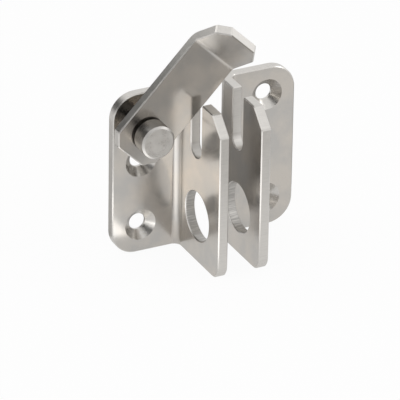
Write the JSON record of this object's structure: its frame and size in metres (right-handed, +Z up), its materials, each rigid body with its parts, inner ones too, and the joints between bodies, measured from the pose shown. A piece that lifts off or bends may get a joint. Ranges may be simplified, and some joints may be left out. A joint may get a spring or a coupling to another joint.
{
  "type": "gate latch",
  "caption": "Flip-over gate latch of folded sheet: slotted flange brackets with padlock holes, and a pivoting strap arm with a bent finger tab that drops into the slots.",
  "frame": {"origin": "midway between the latch bracket's screw holes, on the gate's face", "axes": "+X along the gate from the latch bracket to the keeper, +Y into the gate, +Z up"},
  "size_m": [0.0606, 0.0289, 0.0741],
  "materials": {
    "stainless_sheet": "satin, half mirror",
    "turned_stainless": "turned, satin"
  },
  "bodies": {
    "fixed_brackets": {"latch_bracket": "stainless_sheet", "keeper_bracket": "stainless_sheet", "pivot_rivet": "turned_stainless", "spacer_bush": "turned_stainless"},
    "swing_arm": {"latch_arm": "stainless_sheet"}
  },
  "joints": [
    {"name": "arm_swing", "type": "hinge", "parent": "fixed_brackets", "child": "swing_arm", "pos_m": [-0.0029, -0.0125, 0.02419], "axis": [0, -1, 0], "range_deg": [-46, 237]}
  ]
}
